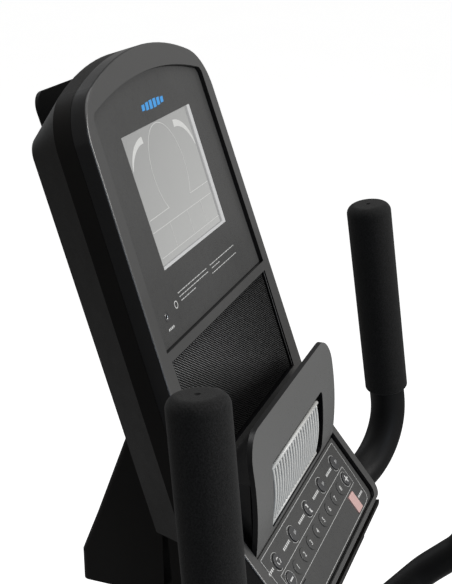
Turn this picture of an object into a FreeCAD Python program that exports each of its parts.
"""Elliptical trainer with a rear flywheel. Millimetres, +Z up, the user faces +Y.

The origin is on the floor under the middle of the machine. All sizes live in the sheet "Size";
each sub-part is an object of the document whose Label is its file name.
"""

import FreeCAD, Part
import math
import os
import re
import Sketcher
from FreeCAD import Placement, Rotation, Vector

X_AXIS = Vector(1, 0, 0)
Y_AXIS = Vector(0, 1, 0)
Z_AXIS = Vector(0, 0, 1)

SIZES = {
    # console: face plane leans back from the vertical, keypad plane leans further
    "face_lean": 18.3,
    "face_y": 577.1,
    "face_z": 1647.5,
    "keypad_lean": 38.3,
    "keypad_y": 457.6,
    "keypad_z": 1343.8,
    "console_half_top": 114.3,
    "console_half_low": 124.0,
    "console_rise": 57.0,
    "console_drop": 268.0,
    "console_crown": 250.0,
    "console_corner": 41.0,
    "taper_depth": 23.5,
    "taper_inset": 26.0,
    "taper_longer": 26.0,
    "rim_high": 3.6,
    "wall": 3.0,
    "seam_depth": 9.0,
    "console_depth": 60.0,
    "console_floor_y": 545.0,
    "foot_back_low": 490.0,
    "foot_back_high": 525.0,
    "console_floor_z": 1262.0,
    "shell_gap": 0.3,
    "overlay_half_top": 99.5,
    "overlay_half_low": 106.0,
    "overlay_rise": 37.3,
    "overlay_drop": 151.0,
    "overlay_crown": 348.0,
    "overlay_round": 7.0,
    "overlay_thick": 1.2,
    "lcd_half": 64.2,
    "lcd_drop": 101.6,
    "lcd_thick": 1.0,
    "mesh_half": 103.0,
    "mesh_top": 159.0,
    "mesh_low": 250.0,
    "mesh_thick": 1.6,
    "keypad_half": 104.0,
    "keypad_outer_half": 116.0,
    "keypad_long": 62.0,
    "keypad_body": 14.0,
    "key_round": 6.25,
    "key_high": 1.6,
    "key_gap": 0.35,
    "key_edge": 0.5,
    "key_column": 40.2,
    "number_pitch": 17.9,
    "number_size": 6.0,
    "bar_key_x": 70.25,
    "bar_key_half_wide": 6.25,
    "bar_key_half_high": 8.5,
    "row_one": 13.0,
    "row_two": 30.5,
    "row_three": 50.0,
    "rest_half": 105.0,
    "rest_thick": 4.0,
    "rest_corner": 24.0,
    "vent_half": 68.0,
    "vent_high": 56.0,
    "vent_low": 10.0,
    "rib_count": 20.0,
    "rib_wide": 3.0,
    "rotor_size": 13.0,
    "rotor_y": 482.0,
    "rotor_z": 1386.0,
    "speaker_size": 34.0,
    "neck_half": 60.0,
    "rear_plate_half": 58.0,
    "rear_plate_high": 300.0,
    "rear_plate_thick": 3.0,
    "rear_plate_round": 14.0,
    # fixed handlebar and its foam grips
    "bar_size": 16.85,
    "bar_wall": 2.0,
    "grip_size": 20.5,
    "grip_long": 192.0,
    "grip_cap": 4.0,
    "grip_top_x": 213.6,
    "grip_top_y": 460.0,
    "grip_top_z": 1529.5,
    "bar_corner_x": 236.0,
    "bar_corner_y": 430.0,
    "bar_corner_z": 1280.0,
    "bar_middle_y": 535.0,
    "bar_middle_z": 1200.0,
    "bar_bend": 62.0,
    # mast
    "mast_size": 30.0,
    "mast_wall": 2.5,
    "mast_top_y": 590.0,
    "mast_top_z": 1296.0,
    "mast_foot_y": 620.0,
    # swing arms hang on one axle through the mast
    "pivot_y": 605.0,
    "pivot_z": 890.0,
    "pivot_size": 12.5,
    "pivot_half": 250.0,
    "hub_size": 27.0,
    "hub_inner": 178.0,
    "hub_outer": 240.0,
    "hub_gap": 0.05,
    "lower_arm": 600.0,
    "stroke_half": 190.0,
    "arm_size": 17.0,
    "arm_x": 190.0,
    "upper_x": 300.0,
    "upper_arm": 350.0,
    "upper_lean": 27.0,
    "grip_lean": 8.5,
    "moving_grip_long": 330.0,
    "moving_grip_size": 21.0,
    # pedal arms and pedals
    "pedal_arm_long": 1100.0,
    "pedal_arm_inner": 130.0,
    "pedal_arm_wide": 38.0,
    "pedal_arm_high": 50.0,
    "joint_pin_size": 8.0,
    "eye_size": 27.0,
    "pedal_back": 450.0,
    "pedal_long": 380.0,
    "pedal_wide": 150.0,
    "pedal_floor": 8.0,
    "pedal_rim": 26.0,
    "pedal_x": 166.0,
    # crank, pulley, flywheel
    "crank_y": -495.0,
    "crank_throw": 190.0,
    "crank_inner": 101.0,
    "crank_thick": 18.0,
    "crank_hub_size": 24.0,
    "crank_axle_size": 10.0,
    "pulley_size": 138.0,
    "pulley_x": 52.0,
    "pulley_wide": 14.0,
    "flywheel_y": -695.0,
    "flywheel_z": 330.0,
    "flywheel_size": 128.0,
    "flywheel_x": -8.0,
    "flywheel_wide": 26.0,
    "flywheel_axle_size": 8.0,
    "small_pulley_size": 20.0,
    "belt_thick": 3.0,
    # base
    "beam_half": 40.0,
    "beam_low": 45.0,
    "beam_top": 77.0,
    "beam_reach": 808.0,
    "stabilizer_deep": 50.0,
    "stabilizer_low": 30.0,
    "stabilizer_high": 45.0,
    "stabilizer_half": 262.0,
    "stabilizer_round": 12.0,
    "end_reach": 865.0,
    "cap_deep": 64.0,
    "cap_long": 34.0,
    "foot_size": 22.0,
    "foot_high": 12.0,
    "foot_x": 225.0,
    "wheel_size": 32.0,
    "wheel_wide": 24.0,
    "wheel_z": 36.0,
    "bolt_size": 5.0,
    "frame_plate": 6.0,
    "frame_top": 375.0,
    "brake_pivot_y": -735.0,
    "brake_pivot_z": 168.0,
    "brake_thick": 12.0,
    "shell_size": 26.0,
    "bearing_size": 20.0,
    "brake_gap": 5.0,
    "housing_half": 94.0,
    "housing_wall": 3.0,
    "housing_low": 80.0,
    "housing_front": -290.0,
    "housing_rear": -858.0,
    "housing_top": 512.0,
    "boot_half": 62.0,
    "boot_high": 150.0,
}

doc = FreeCAD.newDocument("elliptical_trainer")
sheet = doc.addObject("Spreadsheet::Sheet", "Size")
for row, (alias, size) in enumerate(SIZES.items(), start=1):
    sheet.set(f"A{row}", alias)
    sheet.set(f"B{row}", str(size))
    sheet.setAlias(f"B{row}", alias)
doc.recompute()

NODES = []


def bound(words):
    """The sheet expression behind words such as 'wall * 2'."""
    return re.sub(r"[a-z_][a-z_0-9]*", lambda match: "Size." + match.group(0), str(words))


def size(words):
    """The present value of such an expression."""
    return float(sheet.evalExpression(bound(words)))


def keep(piece, label):
    """Marks a finished object as the sub-part with that name."""
    piece.Label = label
    NODES.append(piece)
    return piece


def placed(piece, place, angle=0.0, axis=X_AXIS):
    piece.Placement = Placement(Vector(*place), Rotation(axis, angle))
    return piece


def box(name, spans, low):
    """A Part::Box with spans (expressions) from its low corner (expressions)."""
    piece = doc.addObject("Part::Box", name)
    for side, words in zip(("Length", "Width", "Height"), spans):
        piece.setExpression(side, bound(words))
    return placed(piece, [size(words) for words in low])


def rod(name, radius, length, start, axis=X_AXIS):
    """A Part::Cylinder from start along axis."""
    piece = doc.addObject("Part::Cylinder", name)
    piece.setExpression("Radius", bound(radius))
    piece.setExpression("Height", bound(length))
    piece.Placement = Placement(Vector(*[size(words) for words in start]), Rotation(Z_AXIS, axis))
    return piece


def cut(name, base, *tools):
    for number, tool in enumerate(tools):
        piece = doc.addObject("Part::Cut", f"{name}_cut{number}")
        piece.Base = base
        piece.Tool = tool
        base = piece
    doc.recompute()
    return base


def fuse(name, *pieces):
    piece = doc.addObject("Part::MultiFuse", name + "_whole")
    piece.Shapes = list(pieces)
    doc.recompute()
    return piece


def group(name, *pieces):
    """Separate solids in one sub-part."""
    piece = doc.addObject("Part::Compound", name + "_group")
    piece.Links = list(pieces)
    doc.recompute()
    return piece


def shaped(name, shape):
    """A Part::Feature for a form that neither sketches nor primitives make."""
    piece = doc.addObject("Part::Feature", name)
    piece.Shape = shape
    return piece


def mirrored(name, source):
    """The same piece on the other side of the machine's middle plane."""
    piece = doc.addObject("Part::Mirroring", name + "_mirror")
    piece.Source = source
    piece.Normal = X_AXIS
    doc.recompute()
    return piece


def origin_plane(body, role):
    return next(feature for feature in body.Origin.OriginFeatures if feature.Role == role)


def outline_sketch(body, name, corners, role="XY_Plane"):
    """A closed polygon whose corners are pairs of sheet expressions."""
    sketch = body.newObject("Sketcher::SketchObject", name + "_outline")
    sketch.AttachmentSupport = [(origin_plane(body, role), "")]
    sketch.MapMode = "FlatFace"
    points = [Vector(size(across), size(up), 0) for across, up in corners]
    for index, point in enumerate(points):
        sketch.addGeometry(Part.LineSegment(point, points[(index + 1) % len(points)]))
    for index in range(len(points)):
        sketch.addConstraint(Sketcher.Constraint("Coincident", index, 2, (index + 1) % len(points), 1))
    for index, (across, up) in enumerate(corners):
        for kind, words in (("DistanceX", across), ("DistanceY", up)):
            number = sketch.addConstraint(Sketcher.Constraint(kind, -1, 1, index, 1, size(words)))
            sketch.setExpression(f"Constraints[{number}]", bound(words))
    return sketch


def plate(name, corners, thick, corner=None, role="XY_Plane", edge=None):
    """A padded outline; corner rounds its upright edges and edge its top rim."""
    body = doc.addObject("PartDesign::Body", name)
    pad = body.newObject("PartDesign::Pad", name + "_pad")
    pad.Profile = outline_sketch(body, name, corners, role)
    pad.setExpression("Length", bound(thick))
    doc.recompute()
    along = {"XY_Plane": Z_AXIS, "XZ_Plane": Y_AXIS, "YZ_Plane": X_AXIS}[role]
    last = pad
    if corner:
        upright = [
            f"Edge{number}"
            for number, side in enumerate(pad.Shape.Edges, start=1)
            if abs(side.tangentAt(side.FirstParameter).dot(along)) > 0.99
        ]
        last = rounded(body, pad, upright, corner)
    if edge:
        rims = [side for side in last.Shape.Faces if abs(side.normalAt(0, 0).dot(along)) > 0.99]
        top = max(rims, key=lambda face: abs(face.CenterOfMass.dot(along)))
        number = next(i for i, face in enumerate(last.Shape.Faces, start=1) if face.isSame(top))
        last = rounded(body, last, [f"Face{number}"], edge)
    return body


def rounded(body, feature, names, radius):
    fillet = body.newObject("PartDesign::Fillet", body.Name + "_fillet")
    fillet.Base = (feature, names)
    fillet.setExpression("Radius", bound(radius))
    body.Tip = fillet
    doc.recompute()
    return fillet


def rectangle(half_wide, low, high):
    return [(f"-({half_wide})", low), (half_wide, low), (half_wide, high), (f"-({half_wide})", high)]


def bent_wire(points, bend):
    """Straight runs joined by tangent arcs of radius bend."""
    edges = []
    start = points[0]
    for before, corner, after in zip(points, points[1:], points[2:]):
        inward = (before - corner).normalize()
        outward = (after - corner).normalize()
        half_turn = (math.pi - inward.getAngle(outward)) / 2
        reach = bend * math.tan(half_turn)
        first = corner + inward * reach
        last = corner + outward * reach
        towards = (inward + outward).normalize()
        middle = corner + towards * (bend / math.cos(half_turn) - bend)
        edges.append(Part.LineSegment(start, first).toShape())
        edges.append(Part.Arc(first, middle, last).toShape())
        start = last
    edges.append(Part.LineSegment(start, points[-1]).toShape())
    return Part.Wire(edges)


def tube(points, bend, radius, wall=None):
    """A round tube along a bent wire, hollow when wall is given."""
    path = bent_wire(points, bend)
    direction = points[1] - points[0]

    def swept(size_of_circle):
        circle = Part.Wire(Part.Circle(points[0], direction, size_of_circle).toShape())
        return path.makePipeShell([circle], True, True)

    solid = swept(radius)
    return solid.cut(swept(radius - wall)) if wall else solid


def lofted(wires):
    return Part.makeLoft(wires, True, True)


# base: one beam between two stabilizers
base = box(
    "beam",
    ("beam_half * 2", "beam_reach * 2", "beam_top - beam_low"),
    ("-beam_half", "-beam_reach", "beam_low")
)
base_room = box(
    "beam_room",
    ("beam_half * 2 - 6", "beam_reach * 2", "beam_top - beam_low - 6"),
    ("-beam_half + 3", "-beam_reach", "beam_low + 3"),
)
keep(cut("beam", base, base_room), "base_frame")


WHEEL_Y = "end_reach - wheel_size"


def stabilizer(name, side):
    low = "beam_reach" if side > 0 else "-beam_reach - stabilizer_deep"
    high = "beam_reach + stabilizer_deep" if side > 0 else "-beam_reach"
    top = "stabilizer_low + stabilizer_high"
    corners = [(low, "stabilizer_low"), (high, "stabilizer_low"), (high, top), (low, top)]
    body = plate(name, corners, "stabilizer_half * 2", "stabilizer_round", "YZ_Plane")
    placed(body, (-size("stabilizer_half"), 0, 0))
    spans = ("stabilizer_half * 2 - 20", "stabilizer_deep - 12", "stabilizer_high - 12")
    room = box(name + "_room", spans, ("-stabilizer_half + 10", f"{low} + 6", "stabilizer_low + 6"))
    return cut(name, body, room)


def wheel_pin():
    """A stub axle with a head, welded in the stabilizer's right end."""
    pin = rod("stub", "bolt_size", "wheel_wide + 9", ("stabilizer_half - 2", WHEEL_Y, "wheel_z"))
    head = rod(
        "stub_head", "bolt_size * 1.8", "4", ("stabilizer_half + wheel_wide + 6", WHEEL_Y, "wheel_z")
    )
    return fuse("wheel_pin", pin, head)


right_pin = wheel_pin()
front_tube = stabilizer("front_tube", 1)
keep(fuse("front_stabilizer", front_tube, right_pin, mirrored("left_pin", right_pin)), "front_stabilizer")
keep(stabilizer("rear_tube", -1), "rear_stabilizer")


def end_cap(name):
    corners = [
        ("-end_reach", "stabilizer_low - 8"),
        ("-end_reach + cap_deep", "stabilizer_low - 8"),
        ("-end_reach + cap_deep", "stabilizer_low + stabilizer_high + 6"),
        ("-end_reach", "stabilizer_low + stabilizer_high + 6"),
    ]
    body = plate(name, corners, "cap_long", "stabilizer_round + 4", "YZ_Plane", "8")
    return placed(body, (size("stabilizer_half"), 0, 0))


right_cap = end_cap("right_cap")
keep(group("stabilizer_caps", right_cap, mirrored("left_cap", right_cap)), "stabilizer_caps")


def leveling_foot(name, across, along):
    pad = rod(name + "_pad", "foot_size", "foot_high", (across, along, "0"), Z_AXIS)
    stem = rod(
        name + "_stem", "bolt_size", "stabilizer_low - foot_high", (across, along, "foot_high"), Z_AXIS
    )
    return fuse(name, pad, stem)


FOOT_PLACES = [
    (across, along)
    for across in ("foot_x", "-foot_x")
    for along in ("beam_reach + stabilizer_deep / 2", "-beam_reach - stabilizer_deep / 2")
]
feet = [leveling_foot(f"foot{number}", *place) for number, place in enumerate(FOOT_PLACES)]
keep(group("feet", *feet), "leveling_feet")


# transport wheels turn on the stub axles
def transport_wheel(name):
    start = ("stabilizer_half + 5", WHEEL_Y, "wheel_z")
    disc = rod(name + "_disc", "wheel_size", "wheel_wide", start)
    bore = rod(name + "_bore", "bolt_size + hub_gap", "wheel_wide", start)
    groove = doc.addObject("Part::Torus", name + "_groove")
    groove.setExpression("Radius1", bound("wheel_size + 4"))
    groove.setExpression("Radius2", bound("6"))
    groove.Placement = Placement(
        Vector(size("stabilizer_half + 5 + wheel_wide / 2"), size(WHEEL_Y), size("wheel_z")), Rotation(
            Z_AXIS, X_AXIS
        )
    )
    return cut(name, disc, bore, groove)


right_wheel = keep(transport_wheel("right_wheel"), "transport_wheel_right")
keep(mirrored("left_wheel", right_wheel), "transport_wheel_left")


# rear frame: two plates that carry the crank bearings and the flywheel
PLATE_OUTLINE = [
    ("flywheel_y - 70", "beam_top"),
    ("crank_y + 75", "beam_top"),
    ("crank_y + 40", "frame_top"),
    ("flywheel_y - 35", "frame_top"),
]


def frame_side(name, inner):
    body = plate(name, PLATE_OUTLINE, "frame_plate", "4", "YZ_Plane")
    return placed(body, (size(inner), 0, 0))


CRANK = ("crank_y", "pivot_z - 569")
right_side = frame_side("right_side", "beam_half - frame_plate")
left_side = frame_side("left_side", "-beam_half")
shell = rod(
    "bracket_shell", "shell_size", "beam_half * 2 - frame_plate * 2", ("-beam_half + frame_plate", *CRANK)
)
FLYWHEEL = ("flywheel_y", "flywheel_z")
rear = cut(
    "rear_frame",
    fuse("rear_frame_body", right_side, left_side, shell),
    rod("bracket_bore", "bearing_size", "beam_half * 2", ("-beam_half", *CRANK)),
    rod("flywheel_bores", "flywheel_axle_size * 2", "beam_half * 2", ("-beam_half", *FLYWHEEL)),
)
brake_pin = rod("brake_pin", "bolt_size", "beam_half * 2", ("-beam_half", "brake_pivot_y", "brake_pivot_z"))
keep(fuse("rear_frame_with_pin", rear, brake_pin), "rear_frame")


def bearing(name, outer, inner, wide, start):
    ring = rod(name + "_ring", outer, wide, start)
    bore = rod(name + "_bore", inner, wide, start)
    return cut(name, ring, bore)


crank_bearings = [
    bearing("right_bearing", "bearing_size", "crank_axle_size + hub_gap", "12", ("beam_half - 12", *CRANK)),
    bearing("left_bearing", "bearing_size", "crank_axle_size + hub_gap", "12", ("-beam_half", *CRANK)),
]
wheel_bearings = [
    bearing(
        "right_race",
        "flywheel_axle_size * 2",
        "flywheel_axle_size + hub_gap",
        "frame_plate",
        (start, *FLYWHEEL)
    )
    for start in ("beam_half - frame_plate", "-beam_half")
]
keep(group("bearings", *crank_bearings, *wheel_bearings), "frame_bearings")


# crank: axle, two arms with pins, the large pulley
axle = rod(
    "axle", "crank_axle_size", "crank_inner * 2 + crank_thick * 2", ("-crank_inner - crank_thick", *CRANK)
)
keep(axle, "crank_axle")


def crank_arm(name, side):
    """side is 1 for the right arm, whose pin is in front at rest, and -1 for the left."""
    start = "crank_inner" if side > 0 else "-crank_inner - crank_thick"
    boss = rod(name + "_boss", "crank_hub_size", "crank_thick", (start, *CRANK))
    pin_y = f"crank_y + crank_throw * {side}"
    eye = rod(name + "_eye", "crank_hub_size - 6", "crank_thick", (start, pin_y, CRANK[1]))
    low_y = "crank_y" if side > 0 else "crank_y - crank_throw"
    web = box(
        name + "_web", ("crank_thick - 4", "crank_throw", "26"), (f"{start} + 2", low_y, f"{CRANK[1]} - 13")
    )
    pin_start = "crank_inner + crank_thick" if side > 0 else "-crank_inner - crank_thick - 8"
    pin = rod(name + "_pin", "joint_pin_size", "8", (pin_start, pin_y, CRANK[1]))
    bore = rod(name + "_bore", "crank_axle_size", "crank_thick", (start, *CRANK))
    return keep(cut(name, fuse(name + "_body", boss, eye, web, pin), bore), name)


crank_arm("crank_arm_right", 1)
crank_arm("crank_arm_left", -1)

pulley_blank = rod("pulley_blank", "pulley_size", "pulley_wide", ("pulley_x - pulley_wide / 2", *CRANK))
pulley_bore = rod("pulley_bore", "crank_axle_size", "pulley_wide", ("pulley_x - pulley_wide / 2", *CRANK))
pulley_web = bearing(
    "pulley_web", "pulley_size - 12", "26", "4", ("pulley_x + pulley_wide / 2 - 4", *CRANK)
)
keep(cut("pulley", pulley_blank, pulley_bore, pulley_web), "drive_pulley")


# flywheel on its own axle, with the small pulley outside the frame plate
disc = rod("disc", "flywheel_size", "flywheel_wide", ("flywheel_x - flywheel_wide / 2", *FLYWHEEL))
dish = bearing("dish", "flywheel_size - 22", "24", "7", ("flywheel_x + flywheel_wide / 2 - 7", *FLYWHEEL))
disc_bore = rod(
    "disc_bore", "flywheel_axle_size", "flywheel_wide", ("flywheel_x - flywheel_wide / 2", *FLYWHEEL)
)
keep(cut("flywheel", disc, dish, disc_bore), "flywheel")
wheel_axle = rod("wheel_axle", "flywheel_axle_size", "116", ("-beam_half - 8", *FLYWHEEL))
small_pulley = rod(
    "small_pulley", "small_pulley_size", "pulley_wide", ("pulley_x - pulley_wide / 2", *FLYWHEEL)
)
keep(fuse("flywheel_axle", wheel_axle, small_pulley), "flywheel_axle")


def belt_shape():
    """A flat belt round both pulleys: the gap between two open loops of tangent lines and arcs."""
    large = Vector(0, size(CRANK[0]), size(CRANK[1]))
    small = Vector(0, size(FLYWHEEL[0]), size(FLYWHEEL[1]))
    line = small - large
    turn = math.acos((size("pulley_size") - size("small_pulley_size")) / line.Length)
    heading = math.atan2(line.z, line.y)

    def loop(proud):
        radii = (size("pulley_size") + proud, size("small_pulley_size") + proud)

        def point(middle, radius, angle):
            return middle + Vector(0, math.cos(angle), math.sin(angle)) * radius

        upper, lower = heading + turn, heading - turn
        ends = [point(large, radii[0], upper), point(small, radii[1], upper)]
        ends += [point(small, radii[1], lower), point(large, radii[0], lower)]
        edges = [
            Part.LineSegment(ends[0], ends[1]).toShape(),
            Part.Arc(ends[1], point(small, radii[1], heading), ends[2]).toShape(),
            Part.LineSegment(ends[2], ends[3]).toShape(),
            Part.Arc(ends[3], point(large, radii[0], heading + math.pi), ends[0]).toShape(),
        ]
        return Part.Face(Part.Wire(edges))

    ring = loop(size("belt_thick") + 0.4).cut(loop(0.4))
    band = ring.extrude(Vector(size("pulley_wide") - 4, 0, 0))
    band.translate(Vector(size("pulley_x") - size("pulley_wide") / 2 + 2, 0, 0))
    return band


keep(shaped("belt", belt_shape()), "drive_belt")


BRAKE = ("brake_pivot_y", "brake_pivot_z")


def brake_arm():
    """An arc of magnets behind the flywheel's rim, on a lug that turns about the brake pin."""
    left = size("flywheel_x - flywheel_wide / 2")
    hub = Vector(left, size(FLYWHEEL[0]), size(FLYWHEEL[1]))
    pivot = Vector(left, size(BRAKE[0]), size(BRAKE[1]))
    wide = Vector(size("flywheel_wide"), 0, 0)
    inner = size("flywheel_size + brake_gap")
    outer = inner + size("brake_thick")

    def rim(radius, degrees):
        turn = math.radians(degrees)
        return hub + Vector(0, math.cos(turn), math.sin(turn)) * radius

    upper, middle, lower = 130, 172, 215
    edges = [
        Part.Arc(rim(inner, upper), rim(inner, middle), rim(inner, lower)).toShape(),
        Part.LineSegment(rim(inner, lower), rim(outer, lower)).toShape(),
        Part.Arc(rim(outer, lower), rim(outer, middle), rim(outer, upper)).toShape(),
        Part.LineSegment(rim(outer, upper), rim(inner, upper)).toShape(),
    ]
    arc = Part.Face(Part.Wire(edges)).extrude(wide)
    lug_end = rim(outer - 5, lower - 5)
    aside = X_AXIS.cross((pivot - lug_end).normalize()) * 5
    corners = [lug_end + aside, pivot + aside, pivot - aside, lug_end - aside]
    link = Part.Face(Part.makePolygon([*corners, corners[0]])).extrude(wide)
    eye = Part.makeCylinder(size("bolt_size") * 2.2, wide.x, pivot, X_AXIS)
    return arc.fuse([link, eye]).cut(Part.makeCylinder(size("bolt_size + hub_gap"), wide.x, pivot, X_AXIS))


keep(shaped("brake", brake_arm()), "brake_magnet_arm")


# housing: two half shells, open below, with a hole for the crank axle in each side
HOUSING = [
    ("housing_rear", "housing_low"),
    ("housing_front", "housing_low"),
    ("housing_front", "housing_low + 190"),
    ("housing_front - 90", "housing_top - 20"),
    ("housing_rear + 190", "housing_top"),
    ("housing_rear", "housing_top - 90"),
]
HOLLOW = [
    ("housing_rear + housing_wall", "housing_low - 10"),
    ("housing_front - housing_wall", "housing_low - 10"),
    ("housing_front - housing_wall", "housing_low + 189"),
    ("housing_front - housing_wall - 89", "housing_top - 20 - housing_wall"),
    ("housing_rear + 190", "housing_top - housing_wall"),
    ("housing_rear + housing_wall", "housing_top - 91"),
]
skin = plate("skin", HOUSING, "housing_half - shell_gap / 2", "24", "YZ_Plane", "16")
placed(skin, (size("shell_gap / 2"), 0, 0))
hollow = plate("hollow", HOLLOW, "housing_half - housing_wall", "20", "YZ_Plane", "14")
axle_hole = rod("axle_hole", "crank_axle_size + 4", "housing_half", ("1", *CRANK))
right_housing = cut("housing", skin, hollow, axle_hole)
keep(right_housing, "housing_right")
keep(mirrored("left_housing", right_housing), "housing_left")


# mast: a leaning round tube with a cross tube for the swing arms' axle
MAST_FOOT = Vector(0, size("mast_foot_y"), size("beam_top"))
MAST_TOP = Vector(0, size("mast_top_y"), size("mast_top_z"))
mast_line = MAST_TOP - MAST_FOOT


def mast_at(level):
    """The mast's middle line at that height."""
    return MAST_FOOT + mast_line * ((level - MAST_FOOT.z) / mast_line.z)


def mast_shape():
    below = MAST_FOOT - mast_line * (20 / mast_line.Length)
    long = (MAST_TOP - below).Length
    outer = Part.makeCylinder(size("mast_size"), long, below, mast_line)
    inner = Part.makeCylinder(size("mast_size - mast_wall"), long, below, mast_line)
    pivot = Vector(-size("hub_inner") + 10, size("pivot_y"), size("pivot_z"))
    cross = Part.makeCylinder(size("pivot_size") + 7, -2 * pivot.x, pivot, X_AXIS)
    bore = Part.makeCylinder(size("pivot_size"), -2 * pivot.x, pivot, X_AXIS)
    ground = Part.makeBox(400, 400, 100, Vector(-200, MAST_FOOT.y - 200, MAST_FOOT.z - 100))
    return outer.fuse(cross).cut([inner, bore, ground]).fuse(cross.cut([bore, inner])).removeSplitter()


keep(shaped("mast", mast_shape()), "mast_tube")
keep(rod("pivot", "pivot_size", "pivot_half * 2", ("-pivot_half", "pivot_y", "pivot_z")), "pivot_axle")



def mast_room(low, high, gap):
    """A rod on the mast's line between two heights, wider than the mast by gap."""
    start = mast_at(low)
    end = mast_at(high)
    return Part.makeCylinder(size("mast_size") + gap, (end - start).Length, start, end - start)


# boot round the mast's foot, with the power socket moulded in its front
boot_outer = plate(
    "boot_outer",
    [
        ("mast_foot_y - boot_half - 25", "beam_top"),
        ("mast_foot_y + boot_half + 25", "beam_top"),
        ("mast_foot_y + mast_size + 12", "beam_top + boot_high"),
        ("mast_foot_y - mast_size - 14", "beam_top + boot_high"),
    ],
    "boot_half * 2", "10", "YZ_Plane", "12",
)
placed(boot_outer, (-size("boot_half"), 0, 0))
inlet = plate("inlet", rectangle("14", "beam_top + 12", "beam_top + 34"), "20", "4", "XZ_Plane")
placed(inlet, (0, size("mast_foot_y + boot_half + 30"), 0))
inlet_hole = rod("inlet_hole", "3", "12", ("0", "mast_foot_y + boot_half + 20", "beam_top + 23"), Y_AXIS)
boot_room = shaped("boot_room", mast_room(60, 260, 0.4))
keep(cut("boot", fuse("boot", boot_outer, inlet), boot_room, inlet_hole), "mast_boot")


# swing arms: hub on the axle, lower leg to the pedal arm, bent tube up to the moving grip
def swing_turn(side):
    """Degrees about +X from mid stroke to rest: the left foot end starts at the rear."""
    angle = math.degrees(math.asin(size("stroke_half / lower_arm")))
    return angle if side > 0 else -angle


def joint_place(side):
    """The lower pivot of a swing arm at rest."""
    drop = math.sqrt(size("lower_arm") ** 2 - size("stroke_half") ** 2)
    return Vector(0, size("pivot_y") + side * size("stroke_half"), size("pivot_z") - drop)


def upper_points(side):
    """Corners of the upper tube at rest, from the hub to the grip's top."""
    pivot = Vector(side * size("arm_x") + side * 18, size("pivot_y"), size("pivot_z"))
    turn = Rotation(X_AXIS, swing_turn(side))
    lean = math.radians(size("upper_lean"))
    up = turn.multVec(Vector(0, -math.sin(lean), math.cos(lean)))
    lean = math.radians(size("grip_lean"))
    along_grip = turn.multVec(Vector(0, math.sin(lean), math.cos(lean)))
    across = Vector(side * size("upper_x") - pivot.x, 0, 0)
    elbow = pivot + up * size("upper_arm") + across
    top = elbow + along_grip * (size("moving_grip_long") + 60)
    return [pivot, pivot + up * 90, elbow - up * 60, elbow, top]


def swing_arm(name, side):
    pivot, first, second, elbow, top = upper_points(side)
    joint = joint_place(side) + Vector(side * size("arm_x"), 0, 0)
    radius = size("arm_size")
    hub_start = Vector(min(side * size("hub_inner"), side * size("hub_outer")), pivot.y, pivot.z)
    hub_long = size("hub_outer - hub_inner")
    hub = Part.makeCylinder(size("hub_size"), hub_long, hub_start, X_AXIS)
    hub_bore = Part.makeCylinder(
        size("pivot_size + hub_gap"), hub_long + 40, hub_start - X_AXIS * 20, X_AXIS
    )
    leg_top = Vector(joint.x, pivot.y, pivot.z)
    leg = Part.makeCylinder(radius + 3, (joint - leg_top).Length, leg_top, joint - leg_top)
    room_top = leg_top + (joint - leg_top) * 0.05
    leg_room = Part.makeCylinder(radius + 0.6, size("lower_arm") - 60, room_top, joint - leg_top)
    boss_start = joint - X_AXIS * 16
    boss = Part.makeCylinder(size("eye_size") - 3, 32, boss_start, X_AXIS)
    boss_bore = Part.makeCylinder(size("joint_pin_size"), 60, joint - X_AXIS * 30, X_AXIS)
    points = [pivot, first, second, elbow, top]
    upper = tube(points, 45, radius)
    upper_room = tube([pivot + (first - pivot) * 0.3, *points[1:]], 45, radius - 2)
    solid = hub.fuse([leg, boss, upper]).cut([hub_bore, boss_bore, leg_room, upper_room])
    return keep(shaped(name, solid.removeSplitter()), name)


swing_arm("swing_arm_right", 1)
swing_arm("swing_arm_left", -1)


def moving_grip(name, side):
    *_, elbow, top = upper_points(side)
    along = (top - elbow).normalize()
    start = top - along * size("moving_grip_long")
    inner = size("arm_size") + 0.02
    sleeve = Part.makeCylinder(
        size("moving_grip_size"), size("moving_grip_long") + size("grip_cap"), start, along
    )
    sleeve = sleeve.makeFillet(3, [edge for edge in sleeve.Edges if edge.Closed and edge.Length > 1])
    room = Part.makeCylinder(inner, size("moving_grip_long"), start, along)
    return keep(shaped(name, sleeve.cut(room)), name)


moving_grip("moving_grip_right", 1)
moving_grip("moving_grip_left", -1)

hub_cap = rod("hub_cap", "hub_size", "8", ("hub_outer + 1", "pivot_y", "pivot_z"))
hub_cap_room = rod("hub_cap_room", "pivot_size", "20", ("hub_outer - 10", "pivot_y", "pivot_z"))
right_hub_cap = cut("hub_cap", hub_cap, hub_cap_room)
keep(group("hub_caps", right_hub_cap, mirrored("left_hub_cap", right_hub_cap)), "hub_caps")


# pedal arms run from the swing arms back to the cranks, with a pedal in front of each crank
def pedal_arm(name, side):
    joint = joint_place(side)
    inner = size("pedal_arm_inner") if side > 0 else -size("pedal_arm_inner") - size("pedal_arm_wide")
    wide = size("pedal_arm_wide")
    high = size("pedal_arm_high")
    rear = joint.y - size("pedal_arm_long")
    bar = Part.makeBox(wide, joint.y - rear, high, Vector(inner, rear, joint.z - high / 2))
    bar = bar.makeFillet(
        7, [edge for edge in bar.Edges if abs(edge.tangentAt(edge.FirstParameter).y) > 0.99]
    )
    room = Part.makeBox(
        wide - 5,
        size("pedal_arm_long") - 80,
        high - 5,
        Vector(inner + 2.5, rear + 40, joint.z - high / 2 + 2.5)
    )
    start = Vector(inner, joint.y, joint.z)
    eye = Part.makeCylinder(size("eye_size") + 3, wide, start, X_AXIS)
    housing = Part.makeCylinder(size("eye_size") + 5, wide, Vector(inner, rear, joint.z), X_AXIS)
    bore = Part.makeCylinder(size("joint_pin_size + hub_gap"), wide, start, X_AXIS)
    return keep(shaped(name, bar.fuse([eye, housing]).cut([bore, room]).removeSplitter()), name)


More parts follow.
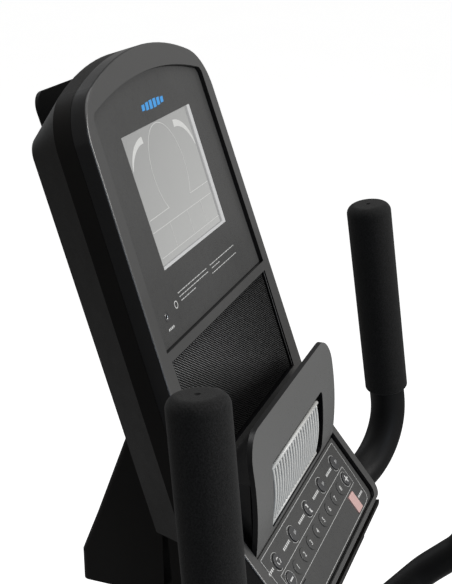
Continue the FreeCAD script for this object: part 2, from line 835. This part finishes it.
pedal_arm("pedal_arm_right", 1)
pedal_arm("pedal_arm_left", -1)


def joint_pin(name, side):
    """The pin pressed in the swing arm's foot, on which the pedal arm turns."""
    joint = joint_place(side)
    inner = size("pedal_arm_inner") - 8
    outer = size("arm_x") + 30
    start = Vector(inner if side > 0 else -outer, joint.y, joint.z)
    head = Vector(inner - 1 if side > 0 else -inner - 6, joint.y, joint.z)
    pin = Part.makeCylinder(size("joint_pin_size"), outer - inner, start, X_AXIS)
    washer = Part.makeCylinder(size("joint_pin_size") + 7, 7, head, X_AXIS)
    return keep(shaped(name, pin.fuse(washer)), name)


joint_pin("pedal_joint_pin_right", 1)
joint_pin("pedal_joint_pin_left", -1)


def pedal(name, side):
    """A footplate with a raised rim round its outer side, toe and heel."""
    joint = joint_place(side)
    middle_y = joint.y - size("pedal_back")
    level = joint.z + size("pedal_arm_high") / 2 + 0.0
    half = "pedal_wide / 2"
    block = plate(
        name + "_block",
        rectangle(half, "-pedal_long / 2", "pedal_long / 2"),
        "pedal_rim",
        "34",
        "XY_Plane",
        "4"
    )
    room = plate(
        name + "_room",
        rectangle(half + " - 6", "-pedal_long / 2 + 6", "pedal_long / 2 - 6"), "pedal_rim", "30", "XY_Plane"
    )
    placed(room, (0, 0, size("pedal_floor")))
    ribs = [
        box(
            f"{name}_rib{number}",
            ("3", "pedal_long - 90", "2.5"),
            (f"{across} - 1.5", "-pedal_long / 2 + 45", "pedal_floor")
        )
        for number, across in enumerate(("-48", "-32", "-16", "0", "16", "32", "48"))
    ]
    dish = fuse(name, cut(name, block, room), *ribs)
    place = doc.addObject("Part::Compound", name + "_place")
    place.Links = [dish]
    placed(place, (side * size("pedal_x"), middle_y, level))
    doc.recompute()
    return keep(place, name)


pedal("pedal_right", 1)
pedal("pedal_left", -1)


# console: the face plane holds the display, the keypad plane below it leans further back
FACE = Placement(Vector(0, size("face_y"), size("face_z")), Rotation(X_AXIS, 90 - size("face_lean")))
KEYPAD = Placement(
    Vector(0, size("keypad_y"), size("keypad_z")), Rotation(X_AXIS, 90 - size("keypad_lean"))
)


def on_plane(plane, piece, above=0.0, across=0.0, up=0.0):
    """Moves a document object into the face or keypad plane's own frame."""
    piece.Placement = plane.multiply(Placement(Vector(across, up, above), Rotation()))
    return piece


def tablet(half_top, half_low, rise, crown, corner, low):
    """A wire with slanting sides, an arched top and rounded top corners, in its own XY plane."""
    centre_x = half_top - corner
    centre_y = rise - crown + math.sqrt((crown - corner) ** 2 - centre_x**2)
    crown_centre = Vector(0, rise - crown, 0)
    corner_centre = Vector(centre_x, centre_y, 0)
    outward = (corner_centre - crown_centre).normalize()
    touch = crown_centre + outward * crown
    side = corner_centre + Vector(corner, 0, 0)
    middle = corner_centre + (outward + X_AXIS).normalize() * corner
    foot = Vector(half_low, low, 0)

    def other(point):
        return Vector(-point.x, point.y, 0)

    edges = [
        Part.LineSegment(foot, side).toShape(),
        Part.Arc(side, middle, touch).toShape(),
        Part.Arc(touch, Vector(0, rise, 0), other(touch)).toShape(),
        Part.Arc(other(touch), other(middle), other(side)).toShape(),
        Part.LineSegment(other(side), other(foot)).toShape(),
        Part.LineSegment(other(foot), foot).toShape(),
    ]
    return Part.Wire(edges)


def console_outline(inset=0.0, longer=0.0):
    return tablet(
        size("console_half_top") - inset, size("console_half_low") - inset, size("console_rise") - inset,
        size("console_crown") - inset, size("console_corner") - inset, -size("console_drop") - longer,
    )


def overlay_outline(gap=0.0):
    return tablet(
        size("overlay_half_top") + gap, size("overlay_half_low") + gap, size("overlay_rise") + gap,
        size("overlay_crown") + gap, size("overlay_round") + gap, -size("overlay_drop") - gap,
    )


def slab(wire, low, high):
    """The outline filled between two heights over its plane."""
    solid = Part.Face(wire).extrude(Vector(0, 0, high - low))
    solid.translate(Vector(0, 0, low))
    return solid


def block(half_wide, low, high, bottom, top):
    """A box in a plane's frame: across, up the plane, and over it."""
    return Part.makeBox(2 * half_wide, high - low, top - bottom, Vector(-half_wide, low, bottom))


def in_plane(plane, solid):
    moved = solid.copy()
    moved.Placement = plane.multiply(moved.Placement)
    return moved


def side_prism(half_wide, points):
    """A prism across the machine from its side outline of (y, z) points."""
    corners = [Vector(-half_wide, along, up) for along, up in points]
    return Part.Face(Part.makePolygon([*corners, corners[0]])).extrude(Vector(2 * half_wide, 0, 0))


SEAM = -size("seam_depth")
RIM = size("rim_high")
WALL = size("wall")
KEY_LOW = -size("keypad_long")
FAN_BLOCK_TOP = size("keypad_z") + 63


def lip_arc(back):
    """The reading rest's side line: top, middle and foot, moved forward by back."""
    top = Vector(0, size("keypad_y") + 8.4 + back, size("keypad_z") + 101.2)
    middle = Vector(0, size("keypad_y") + 0.6 + back, size("keypad_z") + 54)
    foot = Vector(0, size("keypad_y") + 0.8 + back, size("keypad_z") + 4)
    return top, middle, foot


def fan_shaft(radius, half_long):
    start = Vector(-half_long, size("rotor_y"), size("rotor_z"))
    return Part.makeCylinder(radius, 2 * half_long, start, X_AXIS)


def front_shell():
    """Rim and floor of the display face, the keypad tray and the fan block between them."""
    face = slab(console_outline(), SEAM, RIM)
    low = -size("console_drop") + 1
    face = face.makeFillet(
        1.8, [side for side in face.Edges if side.BoundBox.ZMin > RIM - 0.01 and side.BoundBox.YMax > low]
    )
    floor = -size("overlay_thick") - 2.5
    back = slab(console_outline(WALL), SEAM - 1, floor)
    pocket = slab(overlay_outline(0.3), -size("overlay_thick"), RIM + 1)
    window = block(size("lcd_half") - 2, -size("lcd_drop") + 2, -2, SEAM - 1, 1)
    mesh = block(
        size("mesh_half") + 0.3, -size("mesh_low"), -size("mesh_top"), -size("mesh_thick") - 0.4, RIM + 1
    )
    sound = block(size("mesh_half") - 8, -size("mesh_low") + 6, -size("mesh_top") - 6, SEAM - 1, 0)
    jack = Part.makeCylinder(3.8, 20, Vector(*JACK, -10))
    face = in_plane(FACE, face.cut([back, pocket, window, mesh, sound, jack]))
    outer = size("keypad_outer_half")
    tray = block(outer, KEY_LOW - 4.5, 57, -size("keypad_body"), RIM)
    upright = [side for side in tray.Edges if side.BoundBox.YMax < KEY_LOW and side.BoundBox.ZLength > 1]
    tray = tray.makeFillet(11, upright)
    tray = tray.makeFillet(1.8, [side for side in tray.Edges if side.BoundBox.ZMin > RIM - 0.01])
    hollow = block(outer - WALL, KEY_LOW - 1.5, 54, -size("keypad_body") - 1, floor)
    sheet_room = block(size("keypad_half") + 1.5, KEY_LOW - 0.3, 80, -size("overlay_thick"), RIM + 1)
    upright = [
        side for side in sheet_room.Edges if side.BoundBox.YMax < KEY_LOW and side.BoundBox.ZLength > 1
    ]
    tray = in_plane(KEYPAD, tray.cut([hollow, sheet_room.makeFillet(8, upright)]))
    rest_back = size("keypad_y + rest_thick")
    fan_low = size("keypad_z") + 6
    fan_side = [(4, FAN_BLOCK_TOP), (44, FAN_BLOCK_TOP), (26, fan_low + 26), (1, fan_low)]
    fan_block = side_prism(100, [(rest_back + along, up) for along, up in fan_side])
    room_side = [
        (-1, FAN_BLOCK_TOP - WALL), (60, FAN_BLOCK_TOP - WALL), (40, fan_low - 20), (-1, fan_low - 20)
    ]
    fan_room = side_prism(size("vent_half"), [(rest_back + along, up) for along, up in room_side])
    bores = fan_shaft(3.05, size("vent_half") + 8)
    return face.fuse([tray, fan_block]).cut([fan_room, bores]).removeSplitter()


JACK = (-83.0, -131.0)
keep(shaped("front_shell", front_shell()), "console_front_shell")


def tapered(inset, low, high_gap, longer):
    """The deep part of the back shell: a straight band, then sides that slope in towards the back."""
    band = slab(console_outline(inset), -size("taper_depth"), SEAM - high_gap)

    def at(wire, height):
        moved = wire.copy()
        moved.translate(Vector(0, 0, height))
        return moved

    taper = lofted([
        at(console_outline(inset, longer), -size("taper_depth")),
        at(console_outline(inset + size("taper_inset"), longer), low),
    ])
    return band.fuse(taper)


def lower_side(inset, back_low, back_high):
    """Side outline of the console's foot, under the keypad tray and in front of the mast."""
    nose_y = size("keypad_y") - 43
    floor_z = size("console_floor_z") + inset
    return [
        (nose_y + 14 + inset, floor_z),
        (size(back_low) - inset, floor_z),
        (size(back_high) - inset, size("keypad_z") + 42.8),
        (size("keypad_y") + 49.4, size("keypad_z") + 48.2),
        (size("keypad_y") + 46.8, size("keypad_z") + 35.4),
        (size("keypad_y") - 30, size("keypad_z") - 61.6),
        (nose_y + inset, size("keypad_z") - 59),
        (nose_y + inset, floor_z + 16),
    ]


def rear_shell():
    longer = size("taper_longer")
    outer = tapered(0.0, -size("console_depth"), size("shell_gap"), longer)
    inner = tapered(WALL, -size("console_depth") + WALL, -1, longer - WALL)
    wide = size("keypad_outer_half") - 1
    narrow = size("neck_half")
    foot = side_prism(wide, lower_side(0.0, "foot_back_low", "foot_back_high"))
    under = size("keypad_z") - 62
    across = [side for side in foot.Edges if side.BoundBox.XLength > 1 and side.BoundBox.ZMax < under]
    behind = side_prism(narrow, lower_side(0.0, "console_floor_y", "console_floor_y + 9"))
    foot = foot.makeFillet(9, across).fuse(behind)
    foot_room = side_prism(wide - WALL, lower_side(WALL, "foot_back_low", "foot_back_high"))
    neck_room = side_prism(narrow - WALL, lower_side(WALL, "console_floor_y", "console_floor_y + 9"))
    joined = side_prism(
        size("console_half_low - taper_inset") - 2 * WALL,
        [
            (size("keypad_y") + 49, size("keypad_z") + 30),
            (size("console_floor_y") + 5, size("keypad_z") + 30),
            (size("console_floor_y") + 5, size("keypad_z") + 56),
            (size("keypad_y") + 56, size("keypad_z") + 56),
        ],
    )
    return in_plane(FACE, outer).fuse(foot).cut([in_plane(FACE, inner), foot_room, neck_room, joined])


keep(shaped("rear_shell", rear_shell()), "console_rear_shell")


# display: overlay sheet with a window, the display behind it, the board with its audio socket
overlay = slab(overlay_outline(), -size("overlay_thick"), 0)
aperture = block(size("lcd_half"), -size("lcd_drop"), 0, -3, 3)
socket_hole = Part.makeCylinder(3.8, 6, Vector(*JACK, -3))
keep(on_plane(FACE, shaped("overlay", overlay.cut([aperture, socket_hole]))), "display_overlay")
window = box("window", ("lcd_half * 2 - shell_gap", "lcd_drop - shell_gap", "lcd_thick"), ("0", "0", "0"))
on_plane(
    FACE, window, -size("overlay_thick"), -size("lcd_half - shell_gap / 2"), -size("lcd_drop - shell_gap / 2")
)
keep(window, "lcd_window")

board = box("board", ("180", "160", "1.6"), ("-90", "-142", "-10.3"))
module = box(
    "module", ("lcd_half * 2 + 4", "lcd_drop + 4", "5"), ("-lcd_half - 2", "-lcd_drop - 2", "-8.7")
)
jack_barrel = bearing("jack", "3.4", "1.8", "9", ("0", "0", "0"))
jack_turn = doc.addObject("Part::Compound", "jack_turn")
jack_turn.Links = [jack_barrel]
jack_turn.Placement = Placement(Vector(*JACK, -8.7), Rotation(Z_AXIS.negative(), X_AXIS).inverted())
boards = group("boards", board, module, jack_turn)
keep(on_plane(FACE, boards), "display_board")

grille = box("grille", ("mesh_half * 2", "mesh_low - mesh_top - shell_gap", "mesh_thick"), ("0", "0", "0"))
on_plane(FACE, grille, -size("mesh_thick") - 0.4, -size("mesh_half"), -size("mesh_low") + 0.15)
keep(grille, "speaker_mesh")


def speaker(name, across):
    middle = "-(mesh_top + mesh_low) / 2"
    cone = rod(name + "_cone", "speaker_size", "5", (across, middle, "-8.9"), Z_AXIS)
    magnet = rod(name + "_magnet", "speaker_size / 2", "12", (across, middle, "-20.9"), Z_AXIS)
    return fuse(name, cone, magnet)


keep(on_plane(FACE, group("speakers", speaker("speaker_a", "-52"), speaker("speaker_b", "52"))), "speakers")


# reading rest: a thin upright lip with the fan's window, curved in its side view
def curved_strip(near, far):
    """The area between two lip arcs, seen from the side."""
    front = lip_arc(near)
    back = lip_arc(far)
    return Part.Face(Part.Wire([
        Part.Arc(*front).toShape(),
        Part.LineSegment(front[2], back[2]).toShape(),
        Part.Arc(*reversed(back)).toShape(),
        Part.LineSegment(back[0], front[0]).toShape(),
    ]))


def across_machine(face, half_wide):
    solid = face.extrude(Vector(2 * half_wide, 0, 0))
    solid.translate(Vector(-half_wide, 0, 0))
    return solid


def rounded_window(half_wide, low, high, corner, every):
    """An upright box through the lip, its corners rounded in the front view."""
    solid = Part.makeBox(2 * half_wide, 80, high - low, Vector(-half_wide, size("keypad_y") - 30, low))
    edges = [side for side in solid.Edges if side.BoundBox.YLength > 1]
    return solid.makeFillet(corner, [side for side in edges if every or side.BoundBox.ZMax > high - 1])


LIP_LOW = size("keypad_z") + 6
LIP_HIGH = size("keypad_z") + 101.2


def reading_rest():
    strip = across_machine(curved_strip(0, size("rest_thick")), size("rest_half"))
    sheet_form = rounded_window(size("rest_half"), LIP_LOW, LIP_HIGH, size("rest_corner"), False)
    vent_low = LIP_LOW + 3
    vent = rounded_window(size("vent_half"), vent_low, vent_low + size("vent_high"), 5, True)
    return strip.common(sheet_form).cut(vent)


keep(shaped("rest", reading_rest()), "reading_rest")


def louvre():
    """A curved backing with upright ribs, in the rest's window."""
    low = LIP_LOW + 5
    high = low + size("vent_high") - 8
    half = size("vent_half") - 7

    def bowed(near, far, half_wide):
        def line(back):
            top = Vector(0, size("keypad_y") + 3 + back, high)
            middle = Vector(0, size("keypad_y") - 1 + back, (low + high) / 2)
            foot = Vector(0, size("keypad_y") + 2 + back, low)
            return top, middle, foot

        front, rear = line(near), line(far)
        return across_machine(Part.Face(Part.Wire([
            Part.Arc(*front).toShape(),
            Part.LineSegment(front[2], rear[2]).toShape(),
            Part.Arc(*reversed(rear)).toShape(),
            Part.LineSegment(rear[0], front[0]).toShape(),
        ])), half_wide)

    count = int(size("rib_count"))
    pitch = 2 * half / count
    ribs = []
    for number in range(count):
        rib = bowed(0, 5.5, size("rib_wide") / 2)
        rib.translate(Vector(-half - 5 + pitch * (number + 0.5), 0, 0))
        ribs.append(rib)
    backing = bowed(5, 6, half)
    backing.translate(Vector(-5, 0, 0))
    return backing.fuse(ribs).removeSplitter()


keep(shaped("louvre", louvre()), "fan_louvre")


def rotor():
    """A cross-flow fan: shaft, end discs and blades."""
    half = size("vent_half") - 3
    radius = size("rotor_size")
    middle = Vector(0, size("rotor_y"), size("rotor_z"))
    parts = [fan_shaft(3, half + 8)]
    for place in (-half + 2, 0, half - 4):
        parts.append(Part.makeCylinder(radius, 2, middle + Vector(place, 0, 0), X_AXIS))
    for number in range(12):
        blade = Part.makeBox(2 * half - 4, 1, 4.5, middle + Vector(-half + 2, -0.5, radius - 5))
        blade.rotate(middle, X_AXIS, 30 * number)
        parts.append(blade)
    return parts[0].fuse(parts[1:]).common(fan_shaft(radius, half + 8))


keep(shaped("rotor", rotor()), "fan_rotor")


# keypad: an overlay with raised number keys and holes for the keys that travel
ROUND_KEYS = {
    "fan_key": ("-key_column * 2", "row_one", "key_round"),
    "recovery_key": ("-key_column", "row_one", "key_round"),
    "mode_key": ("0", "row_one", "key_round"),
    "enter_key": ("key_column", "row_one", "key_round"),
    "reset_key": ("key_column * 2", "row_one", "key_round"),
    "minus_key": ("-key_column * 2", "row_two", "key_round - 0.4"),
    "plus_key": ("key_column * 2", "row_two", "key_round - 0.4"),
}
BLOCK_KEYS = {"start_key": "-bar_key_x", "stop_key": "bar_key_x"}
KEY_TOP = "key_high - 0.5"


def keypad_overlay():
    sheet_form = block(size("keypad_half"), KEY_LOW, 2, -size("overlay_thick"), 0)
    upright = [
        side for side in sheet_form.Edges if side.BoundBox.YMax < KEY_LOW + 1 and side.BoundBox.ZLength > 1
    ]
    sheet_form = sheet_form.makeFillet(8, upright)
    gap = size("key_gap")
    holes = [
        Part.makeCylinder(size(radius) + gap, 4, Vector(size(across), -size(down), -2))
        for across, down, radius in ROUND_KEYS.values()
    ]
    half_wide, half_high = size("bar_key_half_wide") + gap, size("bar_key_half_high") + gap
    for across in BLOCK_KEYS.values():
        corner = Vector(size(across) - half_wide, -size("row_three") - half_high, -2)
        holes.append(Part.makeBox(2 * half_wide, 2 * half_high, 4, corner))
    domes = []
    for number in range(8):
        across = (number - 3.5) * size("number_pitch")
        dome = Part.makeCylinder(size("number_size"), 0.9, Vector(across, -size("row_two"), -0.1))
        domes.append(dome.makeFillet(0.5, [side for side in dome.Edges if side.BoundBox.ZMin > 0.5]))
    return sheet_form.cut(holes).fuse(domes)


keep(on_plane(KEYPAD, shaped("keypad_sheet", keypad_overlay())), "keypad_overlay")


def round_key(name, across, down, radius):
    body = doc.addObject("PartDesign::Body", name)
    sketch = body.newObject("Sketcher::SketchObject", name + "_circle")
    sketch.AttachmentSupport = [(origin_plane(body, "XY_Plane"), "")]
    sketch.MapMode = "FlatFace"
    sketch.addGeometry(Part.Circle(Vector(0, 0, 0), Z_AXIS, size(radius)))
    sketch.addConstraint(Sketcher.Constraint("Coincident", 0, 3, -1, 1))
    sketch.addConstraint(Sketcher.Constraint("Radius", 0, size(radius)))
    sketch.setExpression("Constraints[1]", bound(radius))
    pad = body.newObject("PartDesign::Pad", name + "_pad")
    pad.Profile = sketch
    pad.setExpression("Length", bound("key_high"))
    doc.recompute()
    level = size("key_high") - 0.01
    top = next(f"Face{i}" for i, face in enumerate(pad.Shape.Faces, start=1) if face.CenterOfMass.z > level)
    rounded(body, pad, [top], "key_edge")
    keep(on_plane(KEYPAD, body, -0.5, size(across), -size(down)), name)


for key_name, key_sizes in ROUND_KEYS.items():
    round_key(key_name, *key_sizes)
for key_name, across in BLOCK_KEYS.items():
    half_wide, half_high = "bar_key_half_wide", "bar_key_half_high"
    key = plate(
        key_name, rectangle(half_wide, f"-{half_high}", half_high), "key_high", "1", "XY_Plane", "key_edge"
    )
    keep(on_plane(KEYPAD, key, -0.5, size(across), -size("row_three")), key_name)


# bracket: a plate on the console's back with a strut down to the mast's top
def bracket_strut(half_wide=22, proud=0.0):
    top_y, top_z = size("mast_top_y"), size("mast_top_z")
    side_line = [
        (-33.3 - proud, 91.5), (-25.5 - proud, 116 + proud), (-18 + proud, 116 + proud),
        (-8 + proud, 94), (21 + proud, 22), (25 + proud, 0.7 - proud), (-29 - proud, 0.7 - proud),
    ]
    return side_prism(half_wide, [(top_y + along, top_z + up) for along, up in side_line])


def rear_plate():
    half = size("rear_plate_half")
    top = 47
    low = top - size("rear_plate_high")
    back = -size("console_depth") - size("shell_gap")
    flat = block(half, low, top, back - size("rear_plate_thick"), back)
    corners = [side for side in flat.Edges if side.BoundBox.ZLength > 1 and side.BoundBox.YLength < 1]
    flat = flat.makeFillet(size("rear_plate_round"), corners)
    return in_plane(FACE, flat).fuse(bracket_strut())


keep(shaped("back_plate", rear_plate()), "console_bracket")

screws = [
    rod(
        f"screw{number}",
        "4.5",
        "2.5",
        (across, up, "-console_depth - shell_gap - rear_plate_thick - 2.5"),
        Z_AXIS
    )
    for number, (across, up) in enumerate([("-44", "30"), ("44", "30"), ("-44", "-150"), ("44", "-150")])
]
keep(on_plane(FACE, group("screws", *screws)), "console_screws")


# fixed handlebar: one bent tube with two upright foam grips, clamped to the mast
def bar_points():
    top = Vector(size("grip_top_x"), size("grip_top_y"), size("grip_top_z"))
    corner = Vector(size("bar_corner_x"), size("bar_corner_y"), size("bar_corner_z"))
    middle = Vector(0, size("bar_middle_y"), size("bar_middle_z"))
    return [Vector(-top.x, top.y, top.z), Vector(-corner.x, corner.y, corner.z), middle, corner, top]


bar = tube(bar_points(), size("bar_bend"), size("bar_size"), size("bar_wall"))
keep(shaped("bar", bar), "handlebar_tube")


def fixed_grip(name, side):
    """A foam sleeve, closed at the top by a shallow dome with a dimple."""
    points = bar_points() if side > 0 else list(reversed(bar_points()))
    top, corner = points[4], points[3]
    along = (top - corner).normalize()
    start = top - along * (size("grip_long") - size("grip_cap"))
    sleeve = Part.makeCylinder(size("grip_size"), size("grip_long"), start, along)
    ends = [side for side in sleeve.Edges if side.Closed]
    ends.sort(key=lambda side: side.CenterOfMass.z)
    sleeve = sleeve.makeFillet(2.5, ends[:1]).makeFillet(8, ends[1:])
    room = Part.makeCylinder(size("bar_size") + 0.02, size("grip_long") - size("grip_cap"), start, along)
    dimple = Part.makeSphere(3.2, top + along * (size("grip_cap") + 2.2))
    return keep(shaped(name, sleeve.cut([room, dimple])), name)


fixed_grip("fixed_grip_right", 1)
fixed_grip("fixed_grip_left", -1)


def handlebar_clamp():
    """Saddle and cap round the bar, bolted to the mast."""
    middle = bar_points()[2]
    bar_room = tube(bar_points(), size("bar_bend"), size("bar_size") + 0.3)
    saddle = Part.makeBox(60, 45, 46, Vector(-30, middle.y + 0.3, middle.z - 23))
    cap = Part.makeBox(60, 22, 46, Vector(-30, middle.y - 22.3, middle.z - 23))
    cap = cap.makeFillet(8, [side for side in cap.Edges if side.BoundBox.YMax < middle.y - 22])
    beside_mast = mast_room(1100, 1290, 0.05)
    bolts = [
        Part.makeCylinder(4.5, 5, Vector(across, middle.y - 27.3, middle.z + up), Y_AXIS)
        for across in (-20, 20) for up in (-13, 13)
    ]
    past_mast = Part.makeBox(80, 60, 60, Vector(-40, size("mast_top_y") - 5, middle.z - 30))
    saddle = saddle.cut([bar_room, beside_mast, past_mast])
    return Part.makeCompound([saddle, cap.cut(bar_room).fuse(bolts)])


keep(shaped("clamp", handlebar_clamp()), "handlebar_clamp")


# neck cover: a hollow wedge from the console's back down over the mast's top
def neck_side(points):
    """A side outline given from the mast's top."""
    return [(size("mast_top_y") + along, size("mast_top_z") + up) for along, up in points]


NECK = [(-15.5, 134), (-14.5, 134), (23, 34), (39, -6), (39, -34), (-37, -34), (-35, 88), (-30, 94)]
NECK_ROOM = [(-22, 100), (-5, 100), (20, 34), (36, -6), (36, -60), (-34, -60), (-32, 86), (-26, 96)]


def neck_cover():
    outer = side_prism(size("neck_half"), neck_side(NECK))
    front = size("mast_top_y") - 12
    outer = outer.makeFillet(
        6, [side for side in outer.Edges if side.BoundBox.YMin > front and side.BoundBox.XLength < 1]
    )
    inner = side_prism(size("neck_half") - WALL, neck_side(NECK_ROOM))
    return outer.cut([inner, bracket_strut(23, 1.0)])


keep(shaped("neck", neck_cover()), "neck_cover")


os.makedirs("parts", exist_ok=True)
doc.recompute()
for piece in doc.Objects:
    if "Invalid" in piece.State or "Error" in piece.State:
        raise RuntimeError(f"{piece.Name} failed: {piece.State}")
for piece in NODES:
    shape = piece.Shape
    if shape.isNull() or not shape.isValid() or not shape.Solids:
        raise RuntimeError(f"{piece.Label} is not a valid solid")
for piece in NODES:
    piece.Shape.exportStep(f"parts/{piece.Label}.step")
